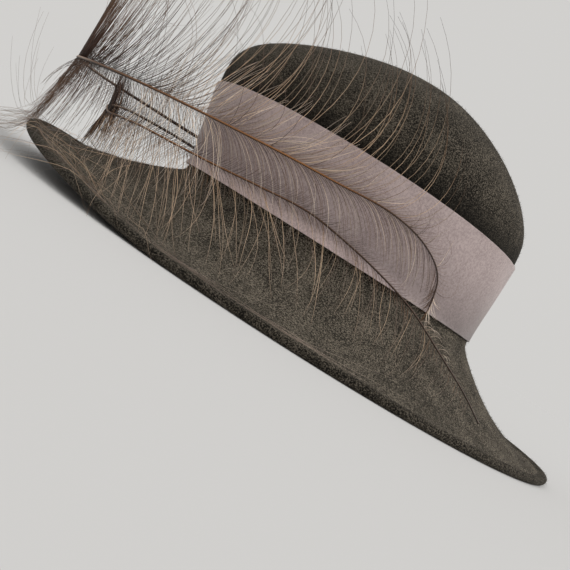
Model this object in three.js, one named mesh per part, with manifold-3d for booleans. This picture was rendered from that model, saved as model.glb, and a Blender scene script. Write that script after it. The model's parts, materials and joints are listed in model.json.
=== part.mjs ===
// Wide-brimmed fedora: a blocked felt body, a grosgrain band and two stripped ostrich plumes.
// Millimetres, +Z up. The hat stands on its brim edge at z = 0, its front towards -Y and the
// wearer's left towards +X.
import * as THREE from 'three';
import Module from 'manifold-3d';

const wasm = await Module();
wasm.setup();

// ---------------------------------------------------------------- driving dimensions
const headLength = 197;      // inside the crown's foot, front to back (a 57 cm head)
const headWidth = 167;
const feltThick = 2.5;
const gap = 0.3;             // clearance between neighbouring pieces

const footHeight = 42;       // crown's foot above the floor
const rimFront = 193;        // brim edge from the crown's axis
const rimSide = 167;
const rimBack = 180;
const frontLift = 15.5;      // the brim's front tip stands clear of the floor
const liftStart = 0.35;      // the lift begins this share of the way to the front tip
const liftCurve = 1.25;      // and grows by this power of what is left
const brimFall = 2.05;       // steep at the crown's foot, nearly flat at the edge
const brimEdgeLevel = 3;     // upper face of the brim over the rolled edge's underside

const ribbonThick = 1;

const segments = 48;         // round the hat
const footFront = headLength / 2 + feltThick;
const footSide = headWidth / 2 + feltThick;
const footBack = footFront;

// A table's rows as objects, keyed by the names of its columns.
const table = (columns, rows) => rows
  .map((row) => Object.fromEntries(columns.map((column, i) => [column, row[i]])));

// ---------------------------------------------------------------- felt surface
// Crown sections from the crease in the top down to the foot. Reaches are measured from the
// crown's axis, rises from the plane of its foot; steps is the number of rings to the next row.
const crownRows = table(['row', 'front', 'riseFront', 'side', 'riseSide', 'back', 'riseBack', 'steps'], [
  ['crease floor', 30, 96.5, 6, 101.5, 14, 101.5, 1],
  ['crease wall', 42, 98, 14, 105.5, 26, 103.5, 1],
  ['inner lip', 53, 99.5, 23.5, 112, 37, 105.2, 1],
  ['ridge', 64, 98, 34, 115, 49, 104, 2],
  ['upper dome', 88, 92, 57, 109.5, 69, 96, 2],
  ['shoulder', 108, 82.5, 79, 95, 88, 82, 2],
  ['side wall', 114.5, 69, 90, 74, 99, 67, 1],
  ['ribbon top', 113, 54, 90.5, 54, 100.5, 54, 2],
  ['ribbon middle', 107, 27, 88.5, 27, 101, 27, 2],
  ['ribbon foot', 102.5, 6, 86.5, 6, 101.2, 6, 3],
]);
// Brim stations as fractions of its width, from the foot to where the rolled edge begins.
const brimStations = [0.025, 0.12, 0.26, 0.42, 0.6, 0.78, 0.9];
// Rolled edge: distance in from the outermost edge, height over its own underside.
const rolledEdge = table(['inward', 'level'], [
  [6.2, 3.5], [4.2, 4.5], [2.4, 5], [0.7, 4.2], [0, 2.6],
  [0.6, 0.9], [1.6, 0], [3.8, 0], [5.2, 0.7],
]);

const ovalPoint = (angle, front, side, back) => new THREE.Vector3(
  side * Math.cos(angle), (Math.sin(angle) < 0 ? front : back) * Math.sin(angle), 0);

// A height given at the front, sides and back, shared out round the oval.
function blend(angle, front, side, back) {
  const s = Math.sin(angle);
  return side * (1 - s * s) + (s < 0 ? front : back) * s * s;
}

const crownPoint = (row, angle) => ovalPoint(angle, row.front, row.side, row.back)
  .setZ(footHeight + blend(angle, row.riseFront, row.riseSide, row.riseBack));
const footPoint = (angle) => ovalPoint(angle, footFront, footSide, footBack).setZ(footHeight);
const rimPoint = (angle) => ovalPoint(angle, rimFront, rimSide, rimBack);

function rimLift(angle) {
  const share = Math.max(0, (-Math.sin(angle) - liftStart) / (1 - liftStart));
  return frontLift * share ** liftCurve;
}

function brimPoint(angle, fraction) {
  const edgeLevel = brimEdgeLevel + rimLift(angle);
  const level = edgeLevel + (footHeight - edgeLevel) * (1 - fraction) ** brimFall;
  return footPoint(angle).lerp(rimPoint(angle), fraction).setZ(level);
}

function edgePoint(angle, { inward, level }) {
  const width = rimPoint(angle).distanceTo(footPoint(angle).setZ(0));
  return brimPoint(angle, 1 - inward / width).setZ(level + rimLift(angle));
}

const meridians = new Map();
function meridian(angle) {
  if (!meridians.has(angle)) {
    const points = [
      ...crownRows.map((row) => crownPoint(row, angle)),
      ...brimStations.map((fraction) => brimPoint(angle, fraction)),
    ];
    meridians.set(angle, new THREE.CatmullRomCurve3(points, false, 'centripetal'));
  }
  return meridians.get(angle);
}
const spans = crownRows.length + brimStations.length - 1;
const feltPoint = (angle, along) => meridian(angle).getPoint(along / spans);

// Outward normal of the felt surface; along is counted in rows from the crease floor.
function feltNormal(angle, along) {
  const turn = 0.02;
  const step = 0.05;
  const round = feltPoint(angle + turn, along).sub(feltPoint(angle - turn, along));
  const down = feltPoint(angle, Math.min(along + step, spans))
    .sub(feltPoint(angle, Math.max(along - step, 0)));
  return down.cross(round).normalize();
}
const feltOffset = (angle, along, height) => feltPoint(angle, along)
  .addScaledVector(feltNormal(angle, along), height);

const angles = Array.from({ length: segments }, (_, i) => (2 * Math.PI * i) / segments);
const ring = (pointAt) => angles.map(pointAt);

// ---------------------------------------------------------------- closed surfaces from rings
// Joins rings of equal length. The ends are closed by a point each or flat, or the last ring
// meets the first.
function skin(rings, { startPoint, endPoint, flatEnds = false, loop = false }) {
  const count = rings[0].length;
  const positions = rings.flat().flatMap((p) => p.toArray());
  const index = [];
  for (let r = 0; r < rings.length - (loop ? 0 : 1); r += 1) {
    const next = (r + 1) % rings.length;
    for (let i = 0; i < count; i += 1) {
      const j = (i + 1) % count;
      const [a, b, c, d] = [r * count + i, r * count + j, next * count + j, next * count + i];
      index.push(a, d, b, b, d, c);
    }
  }
  const addCap = (point, first, flip) => {
    const tip = positions.length / 3;
    positions.push(...point.toArray());
    for (let i = 0; i < count; i += 1) {
      const j = (i + 1) % count;
      index.push(tip, ...(flip ? [first + j, first + i] : [first + i, first + j]));
    }
  };
  if (startPoint) addCap(startPoint, 0, false);
  if (endPoint) addCap(endPoint, (rings.length - 1) * count, true);
  if (flatEnds) {
    const last = (rings.length - 1) * count;
    const triangles = THREE.ShapeUtils.triangulateShape(flatOutline(rings[0]), []);
    for (const [a, b, c] of triangles) index.push(a, b, c, last + a, last + c, last + b);
  }
  const geometry = new THREE.BufferGeometry();
  geometry.setAttribute('position', new THREE.Float32BufferAttribute(positions, 3));
  geometry.setIndex(index);
  return geometry;
}

// A flat ring's outline in its own plane, for closing it with triangles.
function flatOutline(points) {
  const arms = points.map((point) => point.clone().sub(points[0]));
  const normal = new THREE.Vector3();
  for (let i = 1; i < arms.length - 1; i += 1) normal.add(arms[i].clone().cross(arms[i + 1]));
  const across = arms[1].clone().normalize();
  const upward = normal.normalize().cross(across);
  return arms.map((arm) => new THREE.Vector2(arm.dot(across), arm.dot(upward)));
}

function solid(geometry) {
  return new wasm.Manifold(new wasm.Mesh({
    numProp: 3,
    vertProperties: geometry.attributes.position.array,
    triVerts: Uint32Array.from(geometry.index.array),
  }));
}

function geometryOf(manifold) {
  const { vertProperties, triVerts } = manifold.getMesh();
  const geometry = new THREE.BufferGeometry();
  geometry.setAttribute('position', new THREE.BufferAttribute(vertProperties, 3));
  geometry.setIndex(new THREE.BufferAttribute(triVerts, 1));
  return geometry;
}

const centroid = (points) => points
  .reduce((sum, p) => sum.add(p), new THREE.Vector3()).divideScalar(points.length);

// ---------------------------------------------------------------- crown and brim
const outerStops = crownRows.flatMap(({ steps }, row) => Array
  .from({ length: steps }, (_, k) => row + k / steps));
for (let k = crownRows.length; k <= spans; k += 1) outerStops.push(k);

function feltBody() {
  const outer = outerStops.map((along) => ring((angle) => feltPoint(angle, along)));
  const edge = rolledEdge.map((spot) => ring((angle) => edgePoint(angle, spot)));
  const inner = outerStops.slice().reverse()
    .map((along) => ring((angle) => feltOffset(angle, along, -feltThick)));
  return skin([...outer, ...edge, ...inner], {
    startPoint: centroid(outer[0]),
    endPoint: centroid(inner[inner.length - 1]),
  });
}

// ---------------------------------------------------------------- ribbon band
// It covers the rings of felt from the ribbon's top row to the first one past its foot row, so
// that the two facet alike and never touch.
const ribbonTop = crownRows.findIndex(({ row }) => row === 'ribbon top');
const ribbonFoot = crownRows.findIndex(({ row }) => row === 'ribbon foot');
const ribbonEnd = ribbonFoot + 1 / crownRows[ribbonFoot].steps;
const ribbonStops = outerStops.filter((stop) => stop >= ribbonTop && stop <= ribbonEnd);

function ribbonBand() {
  const face = (height) => ribbonStops
    .map((along) => ring((angle) => feltOffset(angle, along, height)));
  return skin([...face(gap + ribbonThick), ...face(gap).reverse()], { loop: true });
}

// ---------------------------------------------------------------- ribbon keeper
// A short tab of the same ribbon on the wearer's right, bowed out over the two quills. Stops are
// counted down the crown as the felt's rows are.
const keeperHalfTurn = 0.13;
const keeperTurns = [1, 0.5, 0, -0.5, -1];
const keeperRows = table(['stop', 'bow'], [
  [7.1, 0], [7.55, 0], [7.8, 3.2], [8.3, 3.2], [8.85, 3.2], [9.1, 0], [9.27, 0],
]);

function ribbonKeeper() {
  const inside = 2 * gap + ribbonThick;
  const face = (angle, height) => keeperRows
    .map(({ stop, bow }) => feltOffset(angle, stop, inside + bow + height));
  const loops = keeperTurns.map((share) => {
    const angle = Math.PI + share * keeperHalfTurn;
    return [...face(angle, ribbonThick), ...face(angle, 0).reverse()];
  });
  return skin(loops, { flatEnds: true });
}

// ---------------------------------------------------------------- plumes
// Quill routes from the butt under the keeper, round the front to the tip; rise is measured from
// the crown's foot. The vane tables give the locks' length above and below the quill, how far
// they lean towards the tip and how far they flare away from the hat, as shares of that length.
const plumes = [
  {
    name: 'plume_upper',
    buttRadius: 1,
    route: table(['x', 'y', 'rise'], [
      [-90.9, 10, 27], [-90.9, -10, 27], [-88.8, -30, 26.8], [-84, -55, 26.3],
      [-73, -90, 25.3], [-59, -124, 24], [-34, -160, 22.5], [-10, -188, 21.5],
      [3, -197, 22.3], [17, -187, 23], [42, -160, 24.5], [62, -128, 26.5],
      [77, -92, 28.7], [88.5, -47, 31.7], [93, -18, 33.2], [93, 12, 35.2],
      [90, 33, 32.3], [87.5, 47, 25.6], [86.5, 52.5, 19.3], [87, 55, 11.5],
      [88.5, 56, 5],
    ]),
    vane: table(['at', 'up', 'down', 'lean', 'flareUp', 'flareDown'], [
      [0.08, 66, 8, 0.1, 0.25, 0.3],
      [0.36, 84, 5, 0.1, 0.25, 0.4],
      [0.41, 96, 36, 0.1, 0.15, 0.8],
      [0.44, 100, 44, 0, 0.1, 1.1],
      [0.47, 100, 44, 0, 0.1, 1.1],
      [0.5, 100, 28, 0.1, 0.2, 0.5],
      [0.6, 112, 13, 0.1, 0.12, 0.1],
      [0.84, 116, 12, 0.1, 0.1, 0.1],
      [0.91, 66, 12, 0.3, 0.15, 0.1],
      [0.985, 16, 12, 0.3, 0.2, 0.1],
    ]),
  },
  {
    name: 'plume_lower',
    buttRadius: 0.9,
    route: table(['x', 'y', 'rise'], [
      [-89.3, 12, 13], [-89.3, -8, 13], [-87.6, -28, 13.4], [-83, -55, 14.6],
      [-73, -88, 16], [-59, -122, 16.4], [-36, -146, 14.5], [-12, -161, 11.5],
      [0, -166, 8], [9, -162, 4.2], [30, -146, 4.8], [52, -127, 6],
      [70, -102, 7], [83, -76, 8.5], [91, -50, 11], [93.5, -22, 13.3],
      [93.5, 0, 11], [92.5, 26, 6.2], [91.5, 49, -0.4], [91, 73, -11.5],
      [91.5, 94, -21.8], [92.5, 108, -30.5],
    ]),
    vane: table(['at', 'up', 'down', 'lean', 'flareUp', 'flareDown'], [
      [0.08, 5, 14, 0.2, 0.2, 0.6],
      [0.37, 4, 26, 0.2, 0.2, 0.6],
      [0.43, 22, 40, 0, 0.1, 0.6],
      [0.52, 14, 50, 0.1, 0.1, 0.7],
      [0.7, 6, 58, 0.1, 0.2, 0.9],
      [0.86, 8, 40, 0.2, 0.3, 0.8],
      [0.985, 8, 12, 0.3, 0.4, 0.5],
    ]),
  },
];
const tipRadius = 0.4;
const quillSides = 5;
const stepsPerSpan = 2;
const locksPerVane = 17;
const lock = {
  rootWidth: 5, tipWidth: 1.4, thick: 0.8, steps: 4, droop: 0.12, bow: 0.5, overFelt: 3.2,
};
const upright = new THREE.Vector3(0, 0, 1);

// The oval of a given brim share that passes over a point: how far out the point lies of it
// (1 is on it), and the point's angle on it.
function brimOval(point, share) {
  const reach = point.y < 0
    ? THREE.MathUtils.lerp(footFront, rimFront, share)
    : THREE.MathUtils.lerp(footBack, rimBack, share);
  const [u, v] = [point.x / THREE.MathUtils.lerp(footSide, rimSide, share), point.y / reach];
  return { out: Math.hypot(u, v), angle: Math.atan2(v, u) };
}

// Height of the brim's upper face under a point; 0 inside the crown's foot.
function brimLevel(point) {
  if (brimOval(point, 0).out < 1) return 0;
  const halvings = 16;
  let [low, high] = [0, 1];
  for (let i = 0; i < halvings; i += 1) {
    const middle = (low + high) / 2;
    if (brimOval(point, middle).out > 1) low = middle;
    else high = middle;
  }
  return brimPoint(brimOval(point, low).angle, low).z;
}

function lockSolid(root, tangent, outward, { rise, lean, flare }) {
  const upward = new THREE.Vector3().crossVectors(outward, tangent);
  const length = Math.abs(rise);
  const points = Array.from({ length: lock.steps + 1 }, (_, k) => {
    const t = k / lock.steps;
    const point = root.clone()
      .addScaledVector(upward, rise * t * (1 - lock.droop * t))
      .addScaledVector(tangent, length * t * (lean + lock.bow * (1 - t)))
      .addScaledVector(outward, flare * length * t * t);
    if (k > 0) point.z = Math.max(point.z, brimLevel(point) + lock.overFelt);
    return point;
  });
  const rings = points.map((point, k) => {
    const ahead = points[Math.min(k + 1, lock.steps)].clone().sub(points[Math.max(k - 1, 0)]);
    const across = ahead.cross(outward).normalize()
      .multiplyScalar(THREE.MathUtils.lerp(lock.rootWidth, lock.tipWidth, k / lock.steps) / 2);
    return [
      point.clone().sub(across),
      point.clone().add(across),
      point.clone().addScaledVector(outward, lock.thick),
    ];
  });
  return solid(skin(rings, { flatEnds: true }));
}

function quillSolid(curve, steps, buttRadius) {
  const rings = Array.from({ length: steps + 1 }, (_, k) => {
    const [point, tangent] = [curve.getPoint(k / steps), curve.getTangent(k / steps)];
    const outward = new THREE.Vector3().crossVectors(tangent, upright).normalize();
    const upward = new THREE.Vector3().crossVectors(outward, tangent);
    const radius = THREE.MathUtils.lerp(buttRadius, tipRadius, k / steps);
    return Array.from({ length: quillSides }, (__, i) => point.clone()
      .addScaledVector(outward, radius * Math.cos((2 * Math.PI * i) / quillSides))
      .addScaledVector(upward, radius * Math.sin((2 * Math.PI * i) / quillSides)));
  });
  return solid(skin(rings, { flatEnds: true }));
}

// One row of a table at any place along it, read between its rows.
function rowAt(rows, at) {
  const next = rows.findIndex((row) => row.at >= at);
  const [a, b] = [rows[Math.max(next - 1, 0)], rows[Math.max(next, 1)]];
  const share = (at - a.at) / (b.at - a.at);
  return Object.fromEntries(Object.keys(a)
    .map((column) => [column, THREE.MathUtils.lerp(a[column], b[column], share)]));
}

function plume({ route, vane, buttRadius }) {
  const points = route.map(({ x, y, rise }) => new THREE.Vector3(x, y, footHeight + rise));
  const curve = new THREE.CatmullRomCurve3(points, false, 'centripetal');
  let body = quillSolid(curve, stepsPerSpan * (route.length - 1), buttRadius);
  const [first, last] = [vane[0].at, vane[vane.length - 1].at];
  for (let i = 0; i < 2 * locksPerVane; i += 1) {
    const at = THREE.MathUtils.lerp(first, last, i / (2 * locksPerVane - 1));
    const { up, down, lean, flareUp, flareDown } = rowAt(vane, at);
    const tangent = curve.getTangentAt(at);
    const outward = new THREE.Vector3().crossVectors(tangent, upright).normalize();
    const reach = i % 2 ? { rise: up, flare: flareUp } : { rise: -down, flare: flareDown };
    body = body.add(lockSolid(curve.getPointAt(at), tangent, outward, { ...reach, lean }));
  }
  return geometryOf(body);
}

// ---------------------------------------------------------------- assembly
function add(group, name, geometry, color, roughness) {
  geometry.computeVertexNormals();
  const material = new THREE.MeshStandardMaterial({ color, roughness, metalness: 0 });
  const mesh = new THREE.Mesh(geometry, material);
  mesh.name = name;
  group.add(mesh);
}

const hat = new THREE.Group();
add(hat, 'felt_crown_and_brim', feltBody(), 0x46443f, 0.95);
add(hat, 'ribbon_band', ribbonBand(), 0x8b7a7e, 0.6);
add(hat, 'ribbon_keeper', ribbonKeeper(), 0x8b7a7e, 0.6);
for (const feather of plumes) add(hat, feather.name, plume(feather), 0x6e4b32, 0.5);

// The origin is the middle of the whole hat's floor plan.
const box = new THREE.Box3().setFromObject(hat);
hat.position.set(-(box.min.x + box.max.x) / 2, -(box.min.y + box.max.y) / 2, -box.min.z);

export default hat;
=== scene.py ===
import json
import math
import random

import bpy
import numpy as np
from mathutils import Matrix, Vector
from mathutils.bvhtree import BVHTree

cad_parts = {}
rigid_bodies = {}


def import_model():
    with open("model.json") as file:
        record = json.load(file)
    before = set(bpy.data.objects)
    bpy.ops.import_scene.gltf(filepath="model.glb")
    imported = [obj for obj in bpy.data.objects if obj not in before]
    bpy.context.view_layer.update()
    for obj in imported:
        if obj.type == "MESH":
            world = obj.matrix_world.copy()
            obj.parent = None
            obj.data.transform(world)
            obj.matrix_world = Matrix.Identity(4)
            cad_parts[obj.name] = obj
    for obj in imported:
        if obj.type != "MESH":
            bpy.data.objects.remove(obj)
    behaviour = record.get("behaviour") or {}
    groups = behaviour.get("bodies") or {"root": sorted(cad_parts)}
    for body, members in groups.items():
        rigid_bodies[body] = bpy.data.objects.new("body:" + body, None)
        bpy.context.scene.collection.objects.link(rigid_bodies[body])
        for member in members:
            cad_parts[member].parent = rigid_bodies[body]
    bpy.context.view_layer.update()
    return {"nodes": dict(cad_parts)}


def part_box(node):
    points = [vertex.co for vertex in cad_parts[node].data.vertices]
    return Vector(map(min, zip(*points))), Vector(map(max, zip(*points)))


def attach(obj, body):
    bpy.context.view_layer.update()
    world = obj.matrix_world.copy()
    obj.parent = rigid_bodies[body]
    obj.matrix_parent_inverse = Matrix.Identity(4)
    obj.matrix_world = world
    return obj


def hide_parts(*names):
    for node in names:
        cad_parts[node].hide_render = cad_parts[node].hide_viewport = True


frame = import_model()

millimetre = 0.001
upwards, downwards = Vector((0, 0, 1)), Vector((0, 0, -1))

# The crown's upright axis and the plane of its foot, which the plumes are placed by, in metres
# from the brim's front edge and from the floor.
hatPlan = {"rimFront": 0.193, "footHeight": 0.042}
feltLow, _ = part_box("felt_crown_and_brim")
crownAxis = Vector((0, feltLow.y + hatPlan["rimFront"], hatPlan["footHeight"]))
farOff = 0.2    # metres, well outside the hat
deepBelow = (0, crownAxis.y, -farOff)   # all the hat's outer faces look away from here


# An sRGB hex value as the linear colour that a material takes.
def toLinear(hexColour):
    channels = [int(hexColour[i:i + 2], 16) / 255 for i in (1, 3, 5)]
    linear = [c / 12.92 if c <= 0.04045 else ((c + 0.055) / 1.055) ** 2.4 for c in channels]
    return (*linear, 1.0)


# Adds one node: inputs holds values or the sockets that feed it, stops a ramp's places and colours.
def addNode(tree, kind, inputs=None, stops=None, **settings):
    node = tree.nodes.new("ShaderNode" + kind)
    for name, value in settings.items():
        setattr(node, name, value)
    for key, value in (inputs or {}).items():
        if isinstance(value, bpy.types.NodeSocket):
            tree.links.new(value, node.inputs[key])
        else:
            node.inputs[key].default_value = value
    if stops:
        ramp = node.color_ramp.elements
        while len(ramp) < len(stops):
            ramp.new(0.5)
        for element, (place, colour) in zip(ramp, stops):
            element.position = place
            element.color = colour
    return node


def newMaterial(name):
    material = bpy.data.materials.new(name)
    material.use_nodes = True
    material.node_tree.nodes.clear()
    return material, material.node_tree


def pick(piece):
    bpy.ops.object.select_all(action="DESELECT")
    piece.select_set(True)
    bpy.context.view_layer.objects.active = piece


def applyModifier(piece, kind, **settings):
    pick(piece)
    modifier = piece.modifiers.new(kind.title(), kind)
    for name, value in settings.items():
        setattr(modifier, name, value)
    bpy.ops.object.modifier_apply(modifier=modifier.name)


# One property of all of a mesh's items, as an array.
def readAll(items, title, width=1, kind=float):
    values = np.zeros(len(items) * width, kind)
    items.foreach_get(title, values)
    return values.reshape(-1, width) if width > 1 else values


# Gives each of a mesh's points its own value, for a material to read.
def markPoints(mesh, title, values):
    marks = mesh.attributes.new(title, "FLOAT", "POINT").data
    marks.foreach_set("value", np.asarray(values, np.float32))


# What a list of (place, value) pairs gives at a place, or at each of an array of them.
def graded(place, pairs, **settings):
    return np.interp(place, *zip(*pairs), **settings)


def coloured(stops):
    return [(place, toLinear(colour)) for place, colour in stops]


# A piece that starts from a CAD node's own form: one skin of four-sided faces.
def mergedCopy(node, name):
    piece = bpy.data.objects.new(name, frame["nodes"][node].data.copy())
    bpy.context.scene.collection.objects.link(piece)
    piece.data.materials.clear()
    pick(piece)
    bpy.ops.object.mode_set(mode="EDIT")
    bpy.ops.mesh.select_all(action="SELECT")
    bpy.ops.mesh.remove_doubles(threshold=0.01 * millimetre)
    bpy.ops.mesh.tris_convert_to_quads(
        face_threshold=math.radians(50), shape_threshold=math.radians(120))
    bpy.ops.object.mode_set(mode="OBJECT")
    return piece


def seat(piece, material, slot, *nodes):
    piece.data.materials.append(material)
    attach(piece, "root")
    if nodes:
        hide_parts(*nodes)


# The camera stands level with the brim, on the wearer's left, and is rolled so that the hat
# is seen tipped back.
cameraView = {
    "position": (0.460, crownAxis.y - 0.012, 0.0355),   # metres
    "tiltDown": 2.7,        # degrees
    "roll": 32.5,           # degrees
    "fieldOfView": 42.65,   # degrees
}


def placeCamera():
    tilt, roll = math.radians(cameraView["tiltDown"]), math.radians(cameraView["roll"])
    forward = Vector((-math.cos(tilt), 0, -math.sin(tilt)))
    right = Vector((0, 1, 0))
    above = right.cross(forward)
    rolledRight = right * math.cos(roll) + above * math.sin(roll)
    rolledUp = above * math.cos(roll) - right * math.sin(roll)
    data = bpy.data.cameras.new("hatCamera")
    data.sensor_width = 36
    data.angle = math.radians(cameraView["fieldOfView"])
    data.clip_start = 0.01
    camera = bpy.data.objects.new("hatCamera", data)
    axes = Matrix((rolledRight, rolledUp, -forward)).transposed()
    camera.matrix_world = Matrix.Translation(cameraView["position"]) @ axes.to_4x4()
    bpy.context.scene.collection.objects.link(camera)
    bpy.context.scene.camera = camera


# A pale floor that runs out level into a room of the same tone, under two broad soft lights.
# The floor's tone is the room's times its share of the light that falls on the floor, so that
# no line shows where they meet.
studio = {
    "floorWidth": 60,       # metres, past where its edge would show
    "roomColour": (1.0, 0.985, 0.96),
    "roomStrength": 0.64,
    "softLights": [
        # the side that each shines from, its strength and its width in degrees
        ((0.1, 1.25, 1.15), 1.6, 50),
        ((1.0, -0.3, 1.2), 0.3, 70),
    ],
}


def layFloor():
    bpy.ops.object.select_all(action="DESELECT")
    bpy.ops.mesh.primitive_plane_add(size=studio["floorWidth"], location=(0, 0, 0))
    floor = bpy.context.object
    floor.name = "studioFloor"
    lit = sum(strength * Vector(place).normalized().z / math.pi
              for place, strength, _ in studio["softLights"])
    share = studio["roomStrength"] / (studio["roomStrength"] + lit)
    material, tree = newMaterial("matte studio paper")
    surface = addNode(tree, "BsdfDiffuse", {"Color": (share, share, share, 1)})
    addNode(tree, "OutputMaterial", {"Surface": surface.outputs[0]})
    floor.data.materials.append(material)


def lightStudio():
    world = bpy.data.worlds.new("paleRoom")
    world.use_nodes = True
    background = world.node_tree.nodes["Background"]
    background.inputs["Color"].default_value = (*studio["roomColour"], 1)
    background.inputs["Strength"].default_value = studio["roomStrength"]
    bpy.context.scene.world = world
    bpy.context.scene.view_settings.view_transform = "Standard"
    for i, (place, strength, width) in enumerate(studio["softLights"]):
        data = bpy.data.lights.new(f"softLight{i}", "SUN")
        data.energy = strength
        data.angle = math.radians(width)
        data.color = studio["roomColour"]
        lamp = bpy.data.objects.new(f"softLight{i}", data)
        lamp.rotation_euler = (-Vector(place)).to_track_quat("-Z", "Y").to_euler()
        bpy.context.scene.collection.objects.link(lamp)


placeCamera()
layFloor()
lightStudio()
print("camera and studio ready")


felt = {
    "smoothLevels": 2,
    # the dark between the fibres, the ground and the pale flecks, each at its place in the grain
    "tones": ((0.54, "#14120F"), (0.685, "#464139"), (0.86, "#837A6D")),
    "fibreWidth": 0.42,     # mm; wool fibres are far finer, and are drawn this coarse to show
    "fibreRun": 0.9,        # mm
    "fibreRelief": 0.6,     # mm
    "fibreTurns": ((0, 0, 0), (0.9, 0.63, 1.17), (2.1, 1.47, 2.73)),    # radians, three lays
    "crossing": 0.8,        # how much the first two lays count beside the third
    "cloudSize": 15,        # mm, the blotches that steaming and handling leave
    "cloudDepth": 0.34,     # how much the blotches count beside the fibres
    "bloom": 0.14,          # the sheen of nap seen edge on
    "bloomTint": "#A39C90",
    "gloss": 0.12,          # wool ends scatter nearly all of what they reflect
    "bandTop": 96,          # mm above the floor
    # painted shade: how pale the felt is, first by mm above the band, darkest just under the crown's
    # bulge and dark over all the crown, which faces the light less than the brim
    "crownPaintedShade": ((-8, 1), (0, 0.10), (6.4, 0.30), (16, 0.72)),
    # then by mm in from the brim's edge, with painted shade on the rolled edge, and how much the
    # painted highlight lightens the crest beside it
    "edge": ((5.5, 0.55), (7, 1)),
    "crest": ((5.7, 0), (6.7, 0.6), (7.9, 0.45), (10.5, 0)),
    "edgeSectors": 180,     # directions in which the brim's edge is looked for
}


# Wool felt, blocked and steamed: a matte grey-brown ground with pale and dark fibre ends lying
# every way, and a soft bloom where the nap is seen edge on.
def feltMaterial():
    material, tree = newMaterial("charcoal wool felt")
    place = addNode(tree, "TexCoord").outputs["Object"]
    fibreScale = 1 / (felt["fibreRun"] * millimetre)
    lays = []
    for axis, turns in enumerate(felt["fibreTurns"]):
        squeezed = [1, 1, 1]
        squeezed[axis] = felt["fibreRun"] / felt["fibreWidth"]
        laid = addNode(tree, "Mapping", {"Vector": place, "Rotation": turns, "Scale": squeezed})
        lay = addNode(tree, "TexNoise", {
            "Vector": laid.outputs[0], "Scale": fibreScale, "Detail": 2.0, "Roughness": 0.6})
        lays.append(lay.outputs["Fac"])
    crossed = addNode(tree, "Math", {0: lays[0], 1: lays[1]}, operation="SUBTRACT")
    fibres = addNode(tree, "Math", {
        0: crossed.outputs[0], 1: felt["crossing"], 2: lays[2]}, operation="MULTIPLY_ADD")
    clouds = addNode(tree, "TexNoise", {
        "Vector": place, "Scale": 1 / (felt["cloudSize"] * millimetre), "Detail": 5.0,
        "Roughness": 0.6})
    tone = addNode(tree, "Math", {
        0: clouds.outputs["Fac"], 1: felt["cloudDepth"], 2: fibres.outputs[0]},
        operation="MULTIPLY_ADD")
    colour = addNode(tree, "ValToRGB", {"Fac": tone.outputs[0]}, coloured(felt["tones"]))
    bump = addNode(tree, "Bump", {
        "Height": fibres.outputs[0], "Strength": 1.0, "Distance": felt["fibreRelief"] * millimetre})
    # painted light: painted shade on the crown and the brim's edge, a painted highlight on the crest
    paintedLight = addNode(tree, "Attribute", attribute_name="feltPaintedLight").outputs["Fac"]
    paintedColour = addNode(tree, "VectorMath", {0: colour.outputs[0], "Scale": paintedLight}, operation="SCALE")
    surface = addNode(tree, "BsdfPrincipled", {
        "Base Color": paintedColour.outputs[0], "Roughness": 0.95, "IOR": 1.45, "Normal": bump.outputs[0],
        "Specular IOR Level": felt["gloss"], "Sheen Weight": felt["bloom"],
        "Sheen Roughness": 0.5, "Sheen Tint": toLinear(felt["bloomTint"])})
    addNode(tree, "OutputMaterial", {"Surface": surface.outputs[0]})
    return material


# How pale the felt is at each point, all of it painted light: painted shade from the band up and
# along the brim's edge, and a painted highlight along the crest beside that edge.
def markPaintedLight(body):
    points = (readAll(body.data.vertices, "co", 3) - np.array([0, crownAxis.y, 0])) / millimetre
    turn = np.arctan2(points[:, 1], points[:, 0])
    radius = np.hypot(points[:, 0], points[:, 1])
    sectors = felt["edgeSectors"]
    sector = ((turn + math.pi) / (2 * math.pi) * sectors).astype(int) % sectors
    rim = np.zeros(sectors)
    np.maximum.at(rim, sector, radius)
    middles = (np.arange(sectors) + 0.5) / sectors * 2 * math.pi - math.pi
    inset = graded(turn, zip(middles, rim), period=2 * math.pi) - radius
    paleness = graded(inset, felt["edge"]) + graded(inset, felt["crest"])
    markPoints(body.data, "feltPaintedLight",
               paleness * graded(points[:, 2] - felt["bandTop"], felt["crownPaintedShade"]))


def buildFelt():
    body = mergedCopy("felt_crown_and_brim", "feltHat")
    levels = felt["smoothLevels"]
    applyModifier(body, "SUBSURF", levels=levels, render_levels=levels)
    pick(body)
    bpy.ops.object.shade_smooth()
    markPaintedLight(body)
    seat(body, feltMaterial(), "felt", "felt_crown_and_brim")
    return body


feltHat = buildFelt()
print("felt body:", len(feltHat.data.polygons), "faces")


ribbon = {
    "smoothLevels": 2,
    "edgeBevel": 0.25,      # mm
    "tones": ((0.78, "#907E7D"), (1.0, "#C5B3B1")),
    "ribSpacing": 0.9,      # mm; the real ribs are nearer 0.6, and are drawn this coarse to show
    "ribRelief": 0.15,      # mm
    "ribDepth": 0.45,       # how much the ribs count beside the threads' grain
    "grainSize": 1.2,       # mm
    "cloudSize": 22,        # mm, the blotches of wear
    "cloudDepth": 0.6,      # how much they count beside the grain
    "radius": 95,           # mm, half the crown's mean width, which the weave is laid out by
    "footHeight": 45,       # mm above the floor
    "flareHeight": 6.5,     # mm of the ribbon's foot that steaming has stretched out over the brim
    "flareReach": 1.1,      # mm
    # painted highlight on the foot, where it turns up to the light
    "footHighlightPaler": 0.24,
    "footHighlightSoon": 2.5,   # above 1, the foot is at its palest before its lower edge
    "hollow": ((5, 0), (8, 1), (16, 0.8), (30, 0)),     # mm above the foot, and how deep the painted shade in it is
    "hollowPaintedShade": 0.2,
    "frontFade": 1.6,       # above 1, both of these end before the back
    # painted shade towards the back, and more of it low down at the back
    "backPaintedShade": 0.2,
    "backFootPaintedShade": 0.5,  # besides, at the foot
    "backFootHeight": 35,   # mm over which that fades
}


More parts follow.
